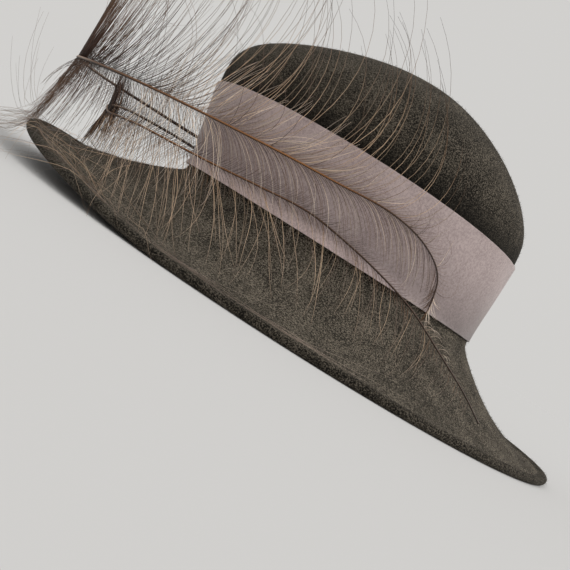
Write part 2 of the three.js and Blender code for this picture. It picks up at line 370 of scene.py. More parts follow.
# Cotton and rayon grosgrain: fine cross ribs with a low silky gloss along them.
def ribbonMaterial():
    material, tree = newMaterial("taupe grosgrain")
    weave = addNode(tree, "UVMap", uv_map="cloth")
    ribs = addNode(tree, "TexWave", {
        "Vector": weave.outputs[0], "Scale": 1 / (ribbon["ribSpacing"] * 2), "Distortion": 0.4,
        "Detail": 1.0, "Detail Scale": 2.0}, bands_direction="X", wave_profile="SIN")
    place = addNode(tree, "TexCoord").outputs["Object"]
    grain = addNode(tree, "TexNoise", {
        "Vector": place, "Scale": 1 / (ribbon["grainSize"] * millimetre), "Detail": 3.0})
    clouds = addNode(tree, "TexNoise", {
        "Vector": place, "Scale": 1 / (ribbon["cloudSize"] * millimetre), "Detail": 2.0})
    thread = addNode(tree, "Math", {
        0: ribs.outputs["Fac"], 1: ribbon["ribDepth"], 2: grain.outputs["Fac"]},
        operation="MULTIPLY_ADD")
    tone = addNode(tree, "Math", {
        0: clouds.outputs["Fac"], 1: ribbon["cloudDepth"], 2: thread.outputs[0]},
        operation="MULTIPLY_ADD")
    colour = addNode(tree, "ValToRGB", {"Fac": tone.outputs[0]}, coloured(ribbon["tones"]))
    bump = addNode(tree, "Bump", {
        "Height": ribs.outputs["Fac"], "Strength": 0.25, "Distance": ribbon["ribRelief"] * millimetre})
    # the ribbon's painted highlight and painted shade, from flareFoot
    paintedLight = addNode(tree, "Attribute", attribute_name="ribbonPaintedLight").outputs["Fac"]
    toned = addNode(tree, "VectorMath", {0: colour.outputs[0], "Scale": paintedLight}, operation="SCALE")
    surface = addNode(tree, "BsdfPrincipled", {
        "Base Color": toned.outputs[0], "Roughness": 0.55, "IOR": 1.5, "Normal": bump.outputs[0],
        "Sheen Weight": 0.25, "Sheen Roughness": 0.4})
    addNode(tree, "OutputMaterial", {"Surface": surface.outputs[0]})
    return material


# Lays a weave map on a piece of the ribbon, in millimetres: along the ribbon and up it. Each
# face's corners are kept to one turn round the crown.
def mapWeave(piece):
    mesh = piece.data
    weave = mesh.uv_layers.new(name="cloth")
    points = readAll(mesh.vertices, "co", 3)[readAll(mesh.loops, "vertex_index", kind=int)]
    around = np.arctan2(points[:, 1] - crownAxis.y, points[:, 0])
    starts = readAll(mesh.polygons, "loop_start", kind=int)
    first = np.repeat(around[starts], readAll(mesh.polygons, "loop_total", kind=int))
    around = around - 2 * math.pi * np.round((around - first) / (2 * math.pi))
    flat = np.stack([around * ribbon["radius"], points[:, 2] / millimetre], axis=1)
    weave.data.foreach_set("uv", flat.ravel())


# Turns the ribbon's foot out over the brim, and paints light and shade into how pale the ribbon is
# at each point: a painted highlight where the foot turns up to the light, painted shade in the
# hollow above it, towards the back and most low down at the back.
def flareFoot(piece):
    marks = []
    for vertex in piece.data.vertices:
        height = vertex.co.z / millimetre - ribbon["footHeight"]
        away = Vector((vertex.co.x, vertex.co.y - crownAxis.y, 0)).normalized()
        back = max(away.y, 0)
        share = min(max(1 - height / ribbon["flareHeight"], 0), 1)
        vertex.co += away * (ribbon["flareReach"] * millimetre * (1 - back) * share ** 2)
        front = max(1 - ribbon["frontFade"] * back, 0)
        footHighlight = min(ribbon["footHighlightSoon"] * share, 1) * front
        hollow = graded(height, ribbon["hollow"]) * front
        low = back * min(max(1 - height / ribbon["backFootHeight"], 0), 1)
        marks.append(1 + ribbon["footHighlightPaler"] * footHighlight - ribbon["hollowPaintedShade"] * hollow
                     - ribbon["backFootPaintedShade"] * low - ribbon["backPaintedShade"] * back)
    markPoints(piece.data, "ribbonPaintedLight", marks)


def buildRibbonPiece(node, name, material):
    piece = mergedCopy(node, name)
    bpy.ops.object.mode_set(mode="EDIT")
    bpy.ops.mesh.select_all(action="DESELECT")
    bpy.ops.mesh.edges_select_sharp(sharpness=math.radians(50))
    bpy.ops.mesh.bevel(offset=ribbon["edgeBevel"] * millimetre, segments=2)
    bpy.ops.object.mode_set(mode="OBJECT")
    levels = ribbon["smoothLevels"]
    applyModifier(piece, "SUBSURF", levels=levels, render_levels=levels)
    bpy.ops.object.shade_smooth()
    flareFoot(piece)
    mapWeave(piece)
    seat(piece, material, "ribbon", node)
    return piece


grosgrain = ribbonMaterial()
ribbonBand = buildRibbonPiece("ribbon_band", "grosgrainBand", grosgrain)
ribbonKeeper = buildRibbonPiece("ribbon_keeper", "grosgrainKeeper", grosgrain)
print("ribbon:", len(ribbonBand.data.polygons), "faces, keeper:", len(ribbonKeeper.data.polygons))


# Many thin tapered three-sided strands as one mesh, with how far along each a point lies and a
# tone of its own for each strand. A strand's width is in mm at its root, and its tip has
# tipShare of that.
def strandMesh(name, strands, width, tipShare, draw):
    count, steps, _ = strands.shape
    ahead = np.gradient(strands, axis=1)
    ahead /= np.linalg.norm(ahead, axis=2, keepdims=True)
    side = np.cross(ahead[:, 0], [0.3, 0.2, 0.93])  # a way that hardly any strand starts
    rings = np.empty((count, steps, 3, 3))
    for k in range(steps):
        side = side - ahead[:, k] * (side * ahead[:, k]).sum(axis=1, keepdims=True)
        side /= np.linalg.norm(side, axis=1, keepdims=True)
        other = np.cross(ahead[:, k], side)
        radius = width * millimetre / 2 * (1 + (tipShare - 1) * k / (steps - 1))
        for corner in range(3):
            angle = 2 * math.pi * corner / 3
            offset = math.cos(angle) * side + math.sin(angle) * other
            rings[:, k, corner] = strands[:, k] + radius * offset
    faces = []
    for strand in range(count):
        base = strand * steps * 3
        tip = base + (steps - 1) * 3
        faces.append((base + 2, base + 1, base))
        faces.append((tip, tip + 1, tip + 2))
        for k in range(steps - 1):
            low = base + 3 * k
            for corner in range(3):
                far = (corner + 1) % 3
                faces.append((low + corner, low + far, low + 3 + far, low + 3 + corner))
    mesh = bpy.data.meshes.new(name)
    mesh.from_pydata(rings.reshape(-1, 3).tolist(), [], faces)
    markPoints(mesh, "strandTone", np.repeat([draw.random() for _ in range(count)], steps * 3))
    markPoints(mesh, "strandRun", np.tile(np.repeat(np.linspace(0, 1, steps), 3), count))
    piece = bpy.data.objects.new(name, mesh)
    bpy.context.scene.collection.objects.link(piece)
    pick(piece)
    bpy.ops.object.shade_smooth()
    return piece


nap = {
    "count": 22000,
    "length": (0.8, 2.0),   # mm
    "width": 0.11,          # mm; real wool ends are a fifth of this
    "tipShare": 0.4,        # how wide an end's tip is beside its root
    "rise": (8, 60),        # degrees from the felt
    "sunk": 0.1,            # mm that its root lies under the felt's face
    "tones": ((0.2, "#25221E"), (1.0, "#7B7469")),
    "ribbonHeights": (44, 97),  # mm; none under the ribbon
    "floorGap": 0.3,        # mm
    "seed": 7,
}


def napMaterial():
    material, tree = newMaterial("loose wool ends")
    own = addNode(tree, "Attribute", attribute_name="strandTone").outputs["Fac"]
    colour = addNode(tree, "ValToRGB", {"Fac": own}, coloured(nap["tones"]))
    surface = addNode(tree, "BsdfPrincipled", {
        "Base Color": colour.outputs[0], "Roughness": 0.9, "IOR": 1.45})
    addNode(tree, "OutputMaterial", {"Surface": surface.outputs[0]})
    return material


# Loose wool ends that stand from the felt's outer face and soften its outline.
def growNap(body):
    mesh, chance = body.data, np.random.default_rng(nap["seed"])
    centres = readAll(mesh.polygons, "center", 3)
    normals = readAll(mesh.polygons, "normal", 3)
    areas = readAll(mesh.polygons, "area")
    firstCorners = readAll(mesh.polygons, "loop_start", kind=int)
    firstPoints = readAll(mesh.loops, "vertex_index", kind=int)[firstCorners]
    # the felt's painted light and shade; the nap is thinner where the felt is painted darker
    paintedLight = readAll(mesh.attributes["feltPaintedLight"].data, "value")[firstPoints]
    outside = ((centres - np.array(deepBelow)) * normals).sum(axis=1) > 0
    low, high = (height * millimetre for height in nap["ribbonHeights"])
    banded = (centres[:, 2] > low) & (centres[:, 2] < high)
    odds = areas * paintedLight * outside * ~banded
    chosen = chance.choice(len(areas), nap["count"], p=odds / odds.sum())
    normal = normals[chosen]
    swirl = chance.normal(size=normal.shape)
    along = swirl - normal * (swirl * normal).sum(axis=1, keepdims=True)
    along /= np.linalg.norm(along, axis=1, keepdims=True)
    across = np.cross(normal, along)
    spread = np.sqrt(areas[chosen])[:, None] * chance.uniform(-0.5, 0.5, (nap["count"], 2))
    root = centres[chosen] + along * spread[:, :1] + across * spread[:, 1:]
    root -= normal * nap["sunk"] * millimetre
    rise = np.radians(chance.uniform(*nap["rise"], nap["count"]))[:, None]
    length = chance.uniform(*nap["length"], nap["count"])[:, None] * millimetre
    tip = root + length * (along * np.cos(rise) + normal * np.sin(rise))
    strands = np.stack([root, tip], axis=1)
    strands[..., 2] = np.maximum(strands[..., 2], nap["floorGap"] * millimetre)
    return strands


woolEnds = strandMesh("feltNap", growNap(feltHat), nap["width"], nap["tipShare"],
                      random.Random(nap["seed"]))
seat(woolEnds, napMaterial(), "felt", "felt_crown_and_brim")
print("nap:", nap["count"], "fibres")


# Quill routes from the butt under the keeper, round the front to the tip: across, back from the
# crown's axis and up from its foot, in millimetres. A layer is one kind of barb on one side of
# the quill. Its rows give, at shares of the quill's length, the gap between barbs and their
# length in millimetres, the angle that they leave the quill's tipward line at and end up at,
# and how far they turn out from the hat, in degrees.
plumeUpper = {
    "route": [
        (-90.9, 10, 27), (-90.9, -10, 27), (-88.8, -30, 26.8), (-84, -55, 26.3), (-73, -90, 25.3),
        (-59, -124, 24), (-34, -160, 22.5), (-10, -188, 21.5), (3, -197, 22.3), (17, -187, 23),
        (42, -160, 24.5), (62, -128, 26.5), (77, -92, 28.7), (88.5, -47, 31.7), (93, -18, 33.2),
        (93, 12, 35.2), (90, 33, 32.3), (87.5, 47, 25.6), (86.5, 52.5, 19.3), (87, 55, 11.5),
        (88.5, 56, 5)],
    # shares of the quill's length, and its radius there in mm
    "quillRadius": ((0, 1.0), (0.07, 1.0), (0.15, 1.4), (0.435, 0.75), (0.47, 0.95), (0.54, 0.9),
                    (0.62, 0.7), (1, 0.38)),
    "foldAt": 0.442,        # shares of its length too
    "goldenTo": 0.83,
    "layers": {
        "longUp": {
            "side": 1, "clump": (1, 3), "pull": 0.6, "wander": 0.09, "spread": 5, "width": 0.32,
            "tone": "paintedLitMiddle", "rows": [
            (0.60, 2.2, 118, 26, 104, 4), (0.66, 2.6, 122, 24, 116, 4), (0.72, 3.2, 118, 22, 136, 4),
            (0.85, 3.6, 114, 22, 144, 4), (0.91, 5.0, 66, 26, 134, 8)]},
        "highUp": {
            "side": 1, "clump": (1, 3), "pull": 0.7, "wander": 0.11, "spread": 3.5, "width": 0.32,
            "tone": "dark", "rows": [
            (0.05, 6.0, 60, 40, 105, 6), (0.30, 4.0, 80, 60, 105, 3), (0.38, 5.0, 98, 86, 100, 0),
            (0.40, 14.0, 104, 90, 96, 0), (0.468, 14.0, 104, 76, 96, 0), (0.472, 1.2, 104, 66, 96, 2),
            (0.50, 1.4, 108, 40, 96, 3), (0.56, 1.9, 112, 28, 98, 4), (0.63, 2.6, 112, 26, 110, 4)]},
        "foldUp": {
            "side": 1, "clump": (1, 3), "pull": 0.6, "wander": 0.02, "spread": 1.5, "width": 0.40,
            "tone": "dark", "rows": [
            (0.41, 0.9, 104, 95, 92, 0), (0.43, 0.45, 104, 91, 91, 0), (0.446, 0.32, 104, 89, 91, 0),
            (0.462, 0.6, 104, 78, 93, 0), (0.475, 1.1, 104, 66, 96, 0)]},
        "fringeUp": {
            "side": 1, "clump": (1, 1), "pull": 0.0, "wander": 0.02, "spread": 1.8, "width": 0.28,
            "tone": "dark", "rows": [
            (0.04, 1.8, 18, 25, 60, 12), (0.36, 1.6, 30, 40, 75, 6), (0.40, 1.6, 40, 88, 92, 0),
            (0.45, 1.5, 42, 86, 92, 0), (0.475, 1.25, 56, 34, 78, 2), (0.56, 1.35, 44, 22, 66, 3),
            (0.62, 1.6, 26, 18, 50, 4)]},
        "vaneUp": {
            "side": 1, "clump": (1, 1), "pull": 0.0, "wander": 0.03, "spread": 2.2, "width": 0.25,
            "tone": "dun", "rows": [
            (0.62, 1.7, 26, 18, 50, 4), (0.74, 1.9, 20, 18, 45, 5), (0.90, 1.9, 15, 20, 45, 8),
            (0.94, 1.9, 9, 20, 60, 10), (0.99, 1.8, 5, 30, 90, 20)]},
        "sweptUp": {
            "side": 1, "clump": (1, 5), "pull": 0.7, "wander": 0.13, "spread": 9, "width": 0.33,
            "tone": "cream", "rows": [
            (0.62, 2.4, 40, 100, 76, 5), (0.66, 1.9, 42, 84, 56, 6), (0.70, 1.9, 42, 66, 40, 7),
            (0.74, 2.0, 38, 46, 36, 8), (0.79, 2.8, 34, 26, 44, 8), (0.86, 5.0, 28, 22, 42, 8),
            (0.92, 9.0, 22, 20, 46, 8)]},
        "fringeDown": {
            "side": -1, "clump": (1, 1), "pull": 0.0, "wander": 0.015, "spread": 1.6, "width": 0.28,
            "tone": "dark", "rows": [
            (0.04, 1.8, 22, 25, 65, 10), (0.38, 1.5, 28, 25, 80, 8), (0.47, 1.2, 30, 34, 92, 4),
            (0.60, 1.3, 30, 22, 78, 2), (0.80, 1.8, 35, 15, 66, 2), (0.90, 1.8, 33, 12, 70, 2),
            (0.96, 1.5, 17, 16, 40, 3), (0.995, 1.4, 7, 20, 60, 10)]},
        "sweptDown": {
            "side": -1, "clump": (1, 2), "pull": 0.3, "wander": 0.08, "spread": 8, "width": 0.24,
            "tone": "cream", "rows": [
            (0.58, 3.0, 48, 34, 88, 12), (0.66, 1.8, 54, 28, 84, 13), (0.74, 2.6, 50, 25, 80, 13),
            (0.80, 4.5, 44, 22, 76, 12), (0.93, 4.5, 37, 14, 66, 6)]},
        "crossDown": {
            "side": -1, "clump": (1, 3), "pull": 0.3, "wander": 0.18, "spread": 9, "width": 0.27,
            "tone": "cream", "rows": [
            (0.605, 1.8, 36, 92, 120, 12), (0.64, 2.4, 36, 82, 110, 12), (0.69, 4.0, 34, 70, 104, 12)]},
        "foldDown": {
            "side": -1, "clump": (1, 4), "pull": 0.5, "wander": 0.05, "spread": 5, "width": 0.32,
            "tone": "dark", "rows": [
            (0.38, 3.0, 46, 60, 90, 12), (0.42, 1.4, 52, 76, 88, 8), (0.455, 0.8, 54, 88, 100, 8),
            (0.49, 1.1, 52, 74, 100, 10), (0.56, 2.8, 50, 50, 84, 10)]},
        "tip": {
            "side": -1, "clump": (2, 4), "pull": 0.6, "wander": 0.12, "spread": 6, "width": 0.24,
            "tone": "dark", "rows": [
            (0.972, 0.7, 9, 8, 30, 0), (0.985, 0.5, 12, 0, 30, 0), (0.999, 0.5, 13, -10, 20, 5)]},
        "tipWisp": {
            "side": 1, "clump": (2, 4), "pull": 0.3, "wander": 0.2, "spread": 10, "width": 0.24,
            "tone": "cream", "rows": [
            (0.985, 0.6, 10, 10, 60, 5), (0.999, 0.4, 15, -20, 70, 8)]},
        "wisp": {
            "side": 1, "clump": (1, 2), "pull": 0.0, "wander": 0.5, "spread": 16, "width": 0.20,
            "tone": "dark", "rows": [
            (0.91, 6.0, 22, 30, 150, 12), (0.96, 5.0, 20, 30, 190, 15)]},
        "strayUp": {
            "side": 1, "clump": (1, 2), "pull": 0.0, "wander": 0.4, "spread": 14, "width": 0.28,
            "tone": "dark", "rows": [
            (0.28, 12, 76, 60, 150, 10), (0.40, 9, 84, 84, 130, 3), (0.48, 6, 90, 50, 160, 8),
            (0.60, 8, 96, 40, 165, 8), (0.80, 14, 84, 40, 160, 8)]},
    },
    # Barbs at the fold run down together, meet at one place and part again. Rises and swings are
    # in degrees, with how much they vary, and a few barbs are longer and curl up.
    "brush": {"count": 56, "from": (0.426, 0.498), "meets": (4, -203, -28), "scatter": 2.8,
              "length": (60, 92), "rise": (-38, 12), "swing": (0, 16), "curl": (0, 0, 0.03),
              "liftedShare": 0.14, "liftedLength": 1.3, "liftedRise": (25, 60),
              "liftedCurl": ((0, 0.1), (0.05, 0.2)), "width": 0.25, "tone": "dun"},
}
plumeLower = {
    "route": [
        (-89.3, 12, 13), (-89.3, -8, 13), (-87.6, -28, 13.4), (-83, -55, 14.6), (-73, -88, 16),
        (-59, -122, 16.4), (-36, -146, 14.5), (-12, -161, 11.5), (0, -166, 8), (9, -162, 4.2),
        (30, -146, 4.8), (52, -127, 6), (70, -102, 7), (83, -76, 8.5), (91, -50, 11),
        (93.5, -22, 13.3), (93.5, 0, 11), (92.5, 26, 6.2), (91.5, 49, -0.4), (91, 73, -11.5),
        (91.5, 94, -21.8), (92.5, 108, -30.5)],
    "quillRadius": ((0, 0.9), (0.07, 0.9), (0.15, 1.2), (0.395, 0.7), (0.43, 0.72), (0.5, 0.62),
                    (1, 0.42)),
    "foldAt": 0.401,
    "goldenTo": 0.61,
    "layers": {
        "fringeUp": {
            "side": 1, "clump": (1, 2), "pull": 0.1, "wander": 0.05, "spread": 4, "width": 0.27,
            "tone": "umber", "rows": [
            (0.04, 1.6, 8, 20, 50, 15), (0.36, 1.0, 10, 40, 90, 10), (0.382, 0.22, 20, 84, 95, 5),
            (0.42, 0.22, 22, 84, 95, 5), (0.44, 1.5, 14, 34, 80, 5), (0.55, 1.4, 13, 34, 66, 4),
            (0.66, 1.3, 12, 30, 60, 6), (0.76, 1.3, 9, 30, 60, 6), (0.84, 2.0, 6, 30, 60, 25),
            (0.98, 3.0, 4, 30, 70, 40)]},
        "fringeDown": {
            "side": -1, "clump": (1, 1), "pull": 0.0, "wander": 0.03, "spread": 3, "width": 0.28,
            "tone": "dark", "rows": [
            (0.04, 1.7, 26, 25, 75, 20), (0.37, 1.4, 32, 45, 85, 10), (0.43, 1.4, 38, 60, 88, 8),
            (0.50, 1.6, 34, 25, 80, 14), (0.58, 2.6, 26, 20, 70, 30), (0.84, 2.8, 12, 20, 60, 45),
            (0.97, 2.4, 8, 25, 60, 45)]},
        "foldDown": {
            "side": -1, "clump": (2, 5), "pull": 0.5, "wander": 0.05, "spread": 4, "width": 0.42,
            "tone": "umber", "rows": [
            (0.382, 0.26, 22, 86, 96, 2), (0.40, 0.18, 25, 88, 98, 2), (0.425, 0.30, 23, 86, 94, 2)]},
        "longDown": {
            "side": -1, "clump": (1, 2), "pull": 0.2, "wander": 0.14, "spread": 10, "width": 0.29,
            "tone": "pale", "drape": 7, "rows": [
            (0.10, 6.0, 34, 30, 80, 40), (0.38, 1.8, 60, 62, 66, 2), (0.44, 1.4, 70, 54, 62, 3),
            (0.56, 2.0, 66, 48, 60, 4), (0.62, 3.8, 56, 46, 62, 5), (0.78, 6.5, 44, 44, 66, 5),
            (0.86, 9.0, 36, 40, 70, 5), (0.93, 12.0, 20, 35, 60, 10)]},
        "crossDown": {
            "side": -1, "clump": (1, 2), "pull": 0.0, "wander": 0.2, "spread": 16, "width": 0.24,
            "tone": "pale", "drape": 9, "rows": [
            (0.42, 3.4, 60, 50, 92, 3), (0.56, 4.5, 58, 44, 96, 4), (0.70, 7.0, 50, 40, 104, 5),
            (0.82, 12.0, 36, 40, 100, 5)]},
        "tailDown": {
            "side": -1, "clump": (1, 2), "pull": 0.1, "wander": 0.3, "spread": 11, "width": 0.16,
            "tone": "dun", "drape": 2, "rows": [
            (0.60, 5.0, 30, 40, 62, 5), (0.74, 3.4, 40, 40, 66, 5), (0.86, 3.0, 36, 40, 64, 5),
            (0.93, 3.4, 20, 36, 64, 5), (0.985, 4.0, 8, 30, 60, 5)]},
        "tailCurl": {
            "side": 1, "clump": (1, 3), "pull": 0.2, "wander": 0.4, "spread": 14, "width": 0.20,
            "tone": "cream", "drape": 1, "rows": [
            (0.864, 3.4, 6, 80, 20, 5), (0.885, 1.6, 10, 88, -10, 5), (0.918, 2.0, 9, 84, -30, 5),
            (0.935, 4.0, 5, 80, -30, 5)]},
    },
    # Barbs lying along the brim, or out across its edge where ways is 0: turns are degrees round
    # the crown, -90 at the front.
    "caught": {"count": 80, "turns": (-80, 0), "inset": (5, 11), "length": (25, 75), "loft": 1.5,
               "ways": (1, -1), "spread": 7, "width": 0.17, "tone": "grey"},
    "tangled": {"count": 46, "turns": (-88, -30), "inset": (3, 26), "length": (36, 84), "loft": 5.0,
                "ways": (1, -1), "spread": 22, "width": 0.20, "tone": "pale"},
    "loose": {"count": 22, "turns": (-86, -44), "inset": (4, 16), "length": (24, 44), "loft": 4.0,
              "ways": (0,), "spread": 24, "width": 0.17, "tone": "dun"},
}
barbs = {
    "steps": 13,            # points along a barb
    "tipShare": 0.4,        # how wide a barb's tip is beside its root
    "clearance": 0.4,       # mm that a barb keeps to the hat
    "floorGap": 0.8,        # mm
    "lengths": (0.72, 1.12),    # shares of the length that a row gives
    "endSpread": 1.4,       # how much more than their first angle barbs vary in their last one
    "flareSpread": 0.6,     # and in how far they turn out
    "rootFlare": 0.3,       # share of that turn that they leave the quill with
    "bend": 0.75,           # below 1, they turn most near the quill
    "waves": (0.5, 1.6),    # wanderings along a barb
    "fullTurn": 6.3,        # radians
    "cling": 1.2,           # above 1, barbs of a clump draw together late
    "leastGap": 0.1,        # mm between barbs along the quill
    # a barb is past the brim's edge where the felt lies less square to it than this
    "pastEdge": 0.7,
    "sweptTo": (460, -12, -6),  # mm, the place beside the hat that hanging barbs are swept towards
    "sweptDrop": 0.4,       # how far they still go aside for each part down, past the edge
    "heldPoints": 4,        # their first points, which the quill keeps off the brim
    "shades": (0.4, 1.3),   # the darkest and the palest barb's share of its colour
    "seed": 5,
    # colours at the root, a third of the way out, two thirds out and at the tip
    "tones": {
        "dark": ("#331C0D", "#56351D", "#7A5838", "#644A36"),
        "dun": ("#6B5242", "#8A7060", "#A08A7A", "#94806F"),
        "umber": ("#22140C", "#38221A", "#4A2E20", "#573A2A"),
        "pale": ("#A08068", "#ECCCAA", "#EACCAE", "#96806C"),
        # painted highlight through the middle where these barbs cross the crown, painted shade at the
        # tips beyond it
        "paintedLitMiddle": ("#96765C", "#EACBAA", "#806046", "#301F14"),
        "cream": ("#D0B49C", "#FBE6CE", "#FDEAD6", "#D8C0AC"),
        "grey": ("#75665A", "#96867A", "#9C8C7E", "#7C6E62"),
    },
}


# A smooth line through the points (a centripetal Catmull-Rom), as an array of places in metres.
def smoothRoute(points, stepsPerSpan=12):
    knots = [crownAxis + Vector(point) * millimetre for point in points]
    knots = [2 * knots[0] - knots[1], *knots, 2 * knots[-1] - knots[-2]]
    line = []
    for a, b, c, d in zip(knots, knots[1:], knots[2:], knots[3:]):
        tb = (b - a).length ** 0.5
        tc = tb + (c - b).length ** 0.5
        td = tc + (d - c).length ** 0.5
        for k in range(stepsPerSpan):
            t = tb + (tc - tb) * k / stepsPerSpan
            middle = (t - tb) / (tc - tb)
            ab, bc, cd = a.lerp(b, t / tb), b.lerp(c, middle), c.lerp(d, (t - tc) / (td - tc))
            line.append(ab.lerp(bc, t / tc).lerp(bc.lerp(cd, (t - tb) / (td - tb)), middle))
    return np.array([*line, knots[-2]])


# A quill's line, and how far along it each of its points lies.
class Quill:
    def __init__(self, points):
        self.line = smoothRoute(points)
        runs = np.linalg.norm(np.diff(self.line, axis=0), axis=1)
        self.length = runs.sum()
        self.shares = np.concatenate([[0], np.cumsum(runs)]) / self.length

    def spot(self, at):
        return Vector([np.interp(at, self.shares, self.line[:, axis]) for axis in range(3)])

    # The tipward line, the way out from the hat and the way up across the vane.
    def axes(self, at, reach=0.004):
        along = (self.spot(min(at + reach, 1)) - self.spot(max(at - reach, 0))).normalized()
        outward = along.cross(upwards).normalized()
        return along, outward, outward.cross(along)


# The hat's outer skin, which barbs lie on and don't pass through.
def outerSkin(*pieces):
    points, faces = [], []
    for piece in pieces:
        start = len(points)
        points += [vertex.co.copy() for vertex in piece.data.vertices]
        for face in piece.data.polygons:
            if face.normal.dot(face.center - Vector(deepBelow)) > 0:
                faces.append([start + i for i in face.vertices])
    return BVHTree.FromPolygons(points, faces)


def keptClear(point, skin):
    spot, normal, _, distance = skin.find_nearest(point)
    height = (point - spot).dot(normal)
    clearance = barbs["clearance"] * millimetre
    beyondEdge = distance > clearance and abs(height) < barbs["pastEdge"] * distance
    if height < clearance and not beyondEdge:
        point = point + normal * (clearance - height)
    point.z = max(point.z, barbs["floorGap"] * millimetre)
    return point


# A barb that hangs over the brim is drawn out sideways and back until it lies on it or just above.
# Past the brim's edge it drops outwards instead of curling under.
def drapedOver(point, last, outward, loft, skin):
    aside = Vector(barbs["sweptTo"]) * millimetre
    aside.x = math.copysign(aside.x, outward.x)
    aside = (crownAxis + aside - point).normalized()
    hit = skin.ray_cast(point + aside * farOff, -aside)[0]
    push = (hit - point).dot(aside) + loft if hit else 0
    if push > 0:
        point = point + aside * push
    elif skin.ray_cast(point, upwards)[0]:
        drop = (aside * barbs["sweptDrop"] + downwards).normalized()
        point = last + drop * (point - last).length
    point.z = max(point.z, barbs["floorGap"] * millimetre)
    return point


# What a layer's rows give at a share of the quill's length.
def rowAt(rows, at):
    places = [row[0] for row in rows]
    return [float(np.interp(at, places, column)) for column in list(zip(*rows))[1:]]


def growBarb(quill, at, layer, skin, draw):
    _, length, start, end, flare = rowAt(layer["rows"], at)
    along, outward, upward = quill.axes(at)
    length *= draw.uniform(*barbs["lengths"]) * millimetre
    start += draw.gauss(0, layer["spread"])
    end += draw.gauss(0, layer["spread"] * barbs["endSpread"])
    flare += draw.gauss(0, layer["spread"] * barbs["flareSpread"])
    fullTurn, rootFlare = barbs["fullTurn"], barbs["rootFlare"]
    waves = [(draw.uniform(*barbs["waves"]), draw.uniform(0, fullTurn)) for _ in range(2)]
    loft = (barbs["clearance"] + draw.random() ** 2 * layer.get("drape", 0)) * millimetre
    point = quill.spot(at)
    strand = [point]
    stretches = barbs["steps"] - 1
    for k in range(stretches):
        run = (k + 0.5) / stretches
        turn = math.radians(start + (end - start) * run ** barbs["bend"])
        opening = math.radians(flare * (rootFlare + (1 - rootFlare) * run))
        sway = [layer["wander"] * run * math.sin(fullTurn * wave * run + phase)
                for wave, phase in waves]
        across = upward * (layer["side"] * math.cos(opening)) + outward * math.sin(opening)
        way = along * (math.cos(turn) + sway[0]) + across * math.sin(turn) + outward * sway[1]
        point = point + way.normalized() * (length / stretches)
        if "drape" in layer:
            point = drapedOver(point, strand[-1], outward, loft * run, skin)
        else:
            point = keptClear(point, skin)
        strand.append(point)
    strand = smoothStrand(np.array(strand), 1)
    return endedOutside(strand, skin) if "drape" in layer else strand


# A hanging barb that would run through the brim's edge ends just before it.
def endedOutside(strand, skin):
    steps = len(strand)
    for k in range(barbs["heldPoints"], steps):
        way = Vector(strand[k] - strand[k - 1])
        if skin.ray_cast(Vector(strand[k - 1]), way, way.length)[0]:
            kept = np.linspace(0, k - 1, steps)
            columns = [np.interp(kept, np.arange(steps), column) for column in strand.T]
            return np.stack(columns, axis=1)
    return strand


# The barbs at the fold: down to the place where they meet, then on past the brim's front edge,
# most of them forwards and down, some curling up.
def growBrush(quill, brush, skin, draw):
    meets = crownAxis + Vector(brush["meets"]) * millimetre
    strands = []
    for _ in range(brush["count"]):
        point = quill.spot(draw.uniform(*brush["from"]))
        scatter = Vector([draw.gauss(0, brush["scatter"]) for _ in range(3)]) * millimetre
        goal = meets + scatter
        lifted = draw.random() < brush["liftedShare"]
        length = draw.uniform(*brush["length"]) * (brush["liftedLength"] if lifted else 1)
        step = length * millimetre / (barbs["steps"] - 1)
        rise = draw.uniform(*brush["liftedRise"]) if lifted else draw.gauss(*brush["rise"])
        rise, swing = math.radians(rise), math.radians(draw.gauss(*brush["swing"]))
        parting = Vector((math.sin(swing), -math.cos(swing) * math.cos(rise), math.sin(rise)))
        curl = Vector(brush["curl"])
        if lifted:
            curl.yz = [draw.uniform(*span) for span in brush["liftedCurl"]]
        strand = [point]
        reached = False
        for k in range(barbs["steps"] - 1):
            ahead = goal - point
            reached = reached or ahead.length < 0.8 * step  # the next step would pass it
            if reached:
                parting = (parting + curl).normalized()
                way = parting
            else:
                way = ahead.normalized()
            point = keptClear(point + way * step, skin)
            strand.append(point)
        strands.append(smoothStrand(np.array(strand)))
    return np.array(strands)


def smoothStrand(strand, rounds=2):
    for _ in range(rounds):
        strand[1:-1] = (strand[:-2] + 2 * strand[1:-1] + strand[2:]) / 4
    return strand


# Barbs cling together in small clumps that share the first one's run towards their tips.
def growLayer(quill, layer, skin, draw):
    strands = []
    at, last = layer["rows"][0][0], layer["rows"][-1][0]
    pull = (layer["pull"] * np.linspace(0, 1, barbs["steps"]) ** barbs["cling"])[:, None]
    vary = layer["spread"] / 10     # as a share of the gap
    while at < last:
        leader = None
        for _ in range(draw.randint(*layer["clump"])):
            strand = growBarb(quill, at, layer, skin, draw)
            if leader is None:
                leader = strand
            else:
                strand = strand * (1 - pull) + leader * pull
            strands.append(strand)
            gap = rowAt(layer["rows"], at)[0] * draw.uniform(1 - vary, 1 + vary)
            at += max(gap, barbs["leastGap"]) * millimetre / quill.length
    return np.array(strands)


lying = {
    "leastLoft": 0.2,       # mm over the felt, midway along
    "follow": (0.8, 1.3),   # how far barbs follow the brim's curve
    "stray": 0.05,          # radians at each step
    "drop": 0.3,            # how steeply they sink once past the edge
    "edgeHeight": 0.005,    # metres above the floor, for one that starts past the edge
}


